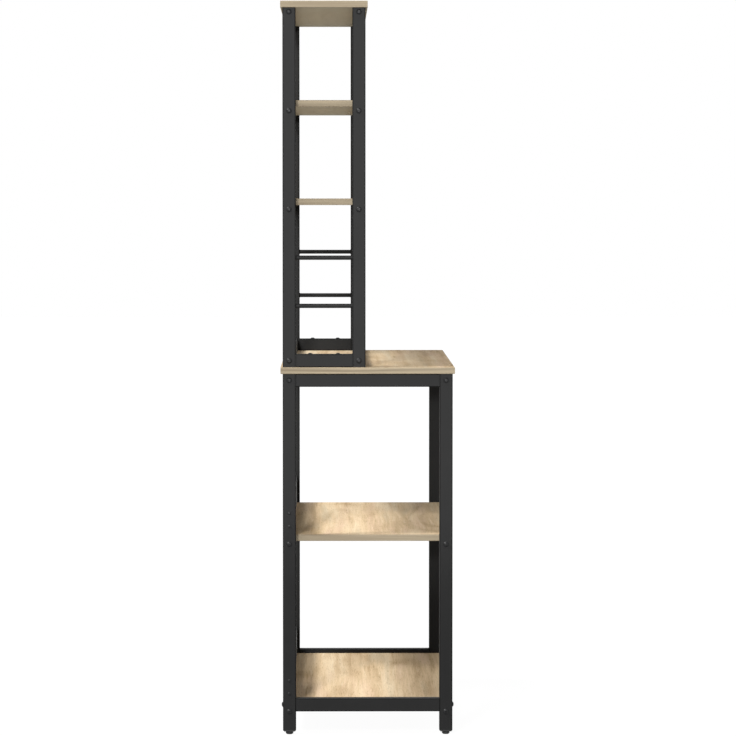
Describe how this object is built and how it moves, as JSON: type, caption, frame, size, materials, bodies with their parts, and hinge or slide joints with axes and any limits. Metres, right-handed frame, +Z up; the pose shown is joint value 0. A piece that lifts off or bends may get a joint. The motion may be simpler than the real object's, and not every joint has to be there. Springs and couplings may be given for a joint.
{
  "type": "kitchen rack",
  "caption": "Free-standing kitchen rack: black square-tube side frames, oak boards, a deep base with countertop and a shallow open hutch at the rear, on screw feet.",
  "frame": {"origin": "on the floor, under the middle of the countertop", "axes": "+X along the rack's length, -Y the open front where the countertop is clear, +Y the back, +Z up from the floor"},
  "size_m": [1, 0.4, 1.684],
  "materials": {
    "frame_steel": "black powder coat, fine satin texture",
    "oak_board": "light oak laminate, matt",
    "bolt_steel": "black button-head bolts, satin",
    "foot_plastic": "black moulded plastic, matt",
    "stud_steel": "zinc plated, satin"
  },
  "bodies": {
    "rack": {"left_base_front_post": "frame_steel", "left_base_rear_post": "frame_steel", "right_base_front_post": "frame_steel", "right_base_rear_post": "frame_steel", "left_hutch_front_post": "frame_steel", "left_hutch_rear_post": "frame_steel", "right_hutch_front_post": "frame_steel", "right_hutch_rear_post": "frame_steel", "left_base_top_rail": "frame_steel", "left_base_bottom_rail": "frame_steel", "left_hutch_bottom_rail": "frame_steel", "right_base_top_rail": "frame_steel", "right_base_bottom_rail": "frame_steel", "right_hutch_bottom_rail": "frame_steel", "left_lower_guard_rod": "frame_steel", "left_upper_guard_rod": "frame_steel", "right_lower_guard_rod": "frame_steel", "right_upper_guard_rod": "frame_steel", "base_top_front_crossbar": "frame_steel", "base_top_rear_crossbar": "frame_steel", "base_middle_front_crossbar": "frame_steel", "base_middle_rear_crossbar": "frame_steel", "base_bottom_front_crossbar": "frame_steel", "base_bottom_rear_crossbar": "frame_steel", "hutch_bottom_front_crossbar": "frame_steel", "hutch_bottom_rear_crossbar": "frame_steel", "hutch_lower_front_crossbar": "frame_steel", "hutch_lower_rear_crossbar": "frame_steel", "hutch_upper_front_crossbar": "frame_steel", "hutch_upper_rear_crossbar": "frame_steel", "hutch_top_front_crossbar": "frame_steel", "hutch_top_rear_crossbar": "frame_steel", "bottom_shelf": "oak_board", "middle_shelf": "oak_board", "hutch_lower_shelf": "oak_board", "hutch_upper_shelf": "oak_board", "top_board": "oak_board", "countertop": "oak_board", "bottom_back_guard": "frame_steel", "middle_back_guard": "frame_steel", "leg_plugs": "foot_plastic", "left_crossbar_bolts": "bolt_steel", "right_crossbar_bolts": "bolt_steel", "bottom_rail_bolts": "bolt_steel", "back_guard_screws": "bolt_steel", "hutch_screws": "bolt_steel"},
    "left_front_foot": {"left_front_foot_pad": "foot_plastic", "left_front_foot_stud": "stud_steel"},
    "left_rear_foot": {"left_rear_foot_pad": "foot_plastic", "left_rear_foot_stud": "stud_steel"},
    "right_front_foot": {"right_front_foot_pad": "foot_plastic", "right_front_foot_stud": "stud_steel"},
    "right_rear_foot": {"right_rear_foot_pad": "foot_plastic", "right_rear_foot_stud": "stud_steel"}
  },
  "joints": [
    {"name": "left_front_foot_travel", "type": "slide", "parent": "rack", "child": "left_front_foot", "axis": [0, 0, -1], "range_m": [0, 0.012]},
    {"name": "left_rear_foot_travel", "type": "slide", "parent": "rack", "child": "left_rear_foot", "axis": [0, 0, -1], "range_m": [0, 0.012]},
    {"name": "right_front_foot_travel", "type": "slide", "parent": "rack", "child": "right_front_foot", "axis": [0, 0, -1], "range_m": [0, 0.012]},
    {"name": "right_rear_foot_travel", "type": "slide", "parent": "rack", "child": "right_rear_foot", "axis": [0, 0, -1], "range_m": [0, 0.012]}
  ]
}
